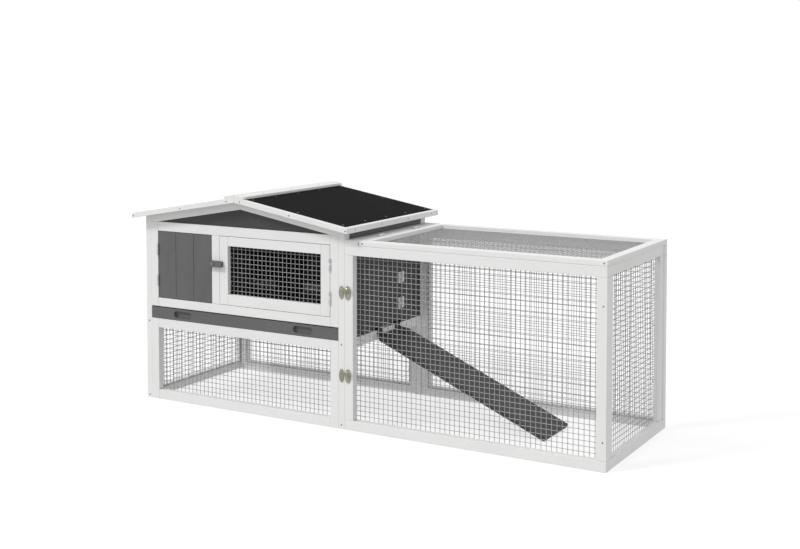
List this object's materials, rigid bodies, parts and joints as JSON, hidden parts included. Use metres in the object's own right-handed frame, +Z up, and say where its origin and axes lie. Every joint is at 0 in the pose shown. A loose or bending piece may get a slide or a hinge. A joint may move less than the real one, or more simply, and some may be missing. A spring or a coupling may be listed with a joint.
{
  "type": "two-tier rabbit hutch",
  "caption": "Two-tier wooden rabbit hutch with a gabled nest house over an open lower tier, a pull-out tray, hinged doors, and a net run with an opening lid and a ramp.",
  "frame": {"origin": "on the floor under the middle of the whole hutch, roof overhangs included", "axes": "+X along the length from the house to the run, +Y from the door front to the back, +Z up"},
  "size_m": [1.529, 0.536, 0.65],
  "materials": {
    "white_timber": "thin white paint over softwood, satin",
    "grey_timber": "thin dark grey paint over softwood, satin",
    "roof_sheet": "black mineral roofing felt",
    "net_wire": "galvanised welded wire",
    "zinc_hardware": "zinc plated steel",
    "latch_metal": "yellow passivated zinc",
    "hook_metal": "black enamelled steel",
    "tray_sheet": "galvanised sheet"
  },
  "bodies": {
    "hutch": {"left_side_frame": "white_timber", "left_wall": "grey_timber", "left_net": "net_wire", "right_side_frame": "white_timber", "right_wall": "grey_timber", "back_frame": "white_timber", "back_wall": "grey_timber", "back_net": "net_wire", "front_lower_frame": "white_timber", "front_lower_net": "net_wire", "front_upper_frame": "white_timber", "front_gable": "grey_timber", "back_gable": "grey_timber", "front_rafters": "white_timber", "back_rafters": "white_timber", "partition": "grey_timber", "tray_runners": "white_timber", "roof_deck_left": "white_timber", "roof_deck_right": "white_timber", "roof_felt_left": "roof_sheet", "roof_felt_right": "roof_sheet", "eave_board_left": "white_timber", "eave_board_right": "white_timber", "ridge_cap_left": "white_timber", "ridge_cap_right": "white_timber", "front_bargeboards": "white_timber", "back_bargeboards": "white_timber", "run_front_frame": "white_timber", "run_front_net": "net_wire", "run_back_frame": "white_timber", "run_back_net": "net_wire", "run_end_frame": "white_timber", "run_end_net": "net_wire", "fixed_lid_board": "white_timber", "fixed_hinge_leaves": "zinc_hardware", "turn_button_screw": "zinc_hardware", "latch_keepers": "latch_metal", "latch_bases": "latch_metal"},
    "tray": {"tray_front": "grey_timber", "tray_pan": "tray_sheet"},
    "run_lid": {"lid_frame": "white_timber", "lid_net": "net_wire", "lid_leaves": "zinc_hardware"},
    "nest_door": {"plank_door": "grey_timber", "plank_door_ledges": "grey_timber", "plank_door_leaves": "zinc_hardware"},
    "living_door": {"mesh_door_frame": "white_timber", "mesh_door_net": "net_wire", "mesh_door_leaves": "zinc_hardware"},
    "wall_door": {"access_door": "grey_timber", "access_door_leaves": "zinc_hardware"},
    "ramp": {"ramp": "grey_timber", "ramp_hooks": "hook_metal"},
    "door_button": {"turn_button": "grey_timber"},
    "upper_wing": {"upper_latch_wing": "latch_metal"},
    "lower_wing": {"lower_latch_wing": "latch_metal"},
    "upper_bar": {"upper_draw_bar": "latch_metal"},
    "lower_bar": {"lower_draw_bar": "latch_metal"}
  },
  "joints": [
    {"name": "tray_slide", "type": "slide", "parent": "hutch", "child": "tray", "axis": [0, -1, 0], "range_m": [0, 0.4]},
    {"name": "run_lid_hinge", "type": "hinge", "parent": "hutch", "child": "run_lid", "pos_m": [0.0335, 0, 0.54095], "axis": [0, -1, 0], "range_deg": [0, 100]},
    {"name": "nest_door_hinge", "type": "hinge", "parent": "hutch", "child": "nest_door", "pos_m": [-0.6875, -0.23895, 0.418], "axis": [0, 0, -1], "range_deg": [0, 120]},
    {"name": "living_door_hinge", "type": "hinge", "parent": "hutch", "child": "living_door", "pos_m": [-0.0605, -0.23895, 0.418], "axis": [0, 0, 1], "range_deg": [0, 120]},
    {"name": "wall_door_hinge", "type": "hinge", "parent": "hutch", "child": "wall_door", "pos_m": [-0.0117, 0.088, 0.348], "axis": [0, 0, 1], "range_deg": [0, 95]},
    {"name": "ramp_lift", "type": "hinge", "parent": "hutch", "child": "ramp", "pos_m": [-0.0285, 0.015, 0.2503], "axis": [0, 1, 0], "range_deg": [-20, 0]},
    {"name": "door_button_turn", "type": "hinge", "parent": "hutch", "child": "door_button", "pos_m": [-0.4695, -0.242, 0.4366], "axis": [0, -1, 0], "range_deg": [0, 90]},
    {"name": "upper_latch_turn", "type": "hinge", "parent": "hutch", "child": "upper_wing", "pos_m": [-0.001, -0.241, 0.399], "axis": [0, -1, 0], "range_deg": [0, 180]},
    {"name": "upper_bar_draw", "type": "slide", "parent": "hutch", "child": "upper_bar", "axis": [-1, 0, 0], "range_m": [0, 0.005]},
    {"name": "lower_latch_turn", "type": "hinge", "parent": "hutch", "child": "lower_wing", "pos_m": [-0.001, -0.241, 0.163], "axis": [0, -1, 0], "range_deg": [0, 180]},
    {"name": "lower_bar_draw", "type": "slide", "parent": "hutch", "child": "lower_bar", "axis": [-1, 0, 0], "range_m": [0, 0.005]}
  ],
  "couplings": [
    {"joint": "upper_latch_turn", "follows": "upper_bar_draw", "rad_per_m": 628.3},
    {"joint": "lower_latch_turn", "follows": "lower_bar_draw", "rad_per_m": 628.3}
  ]
}
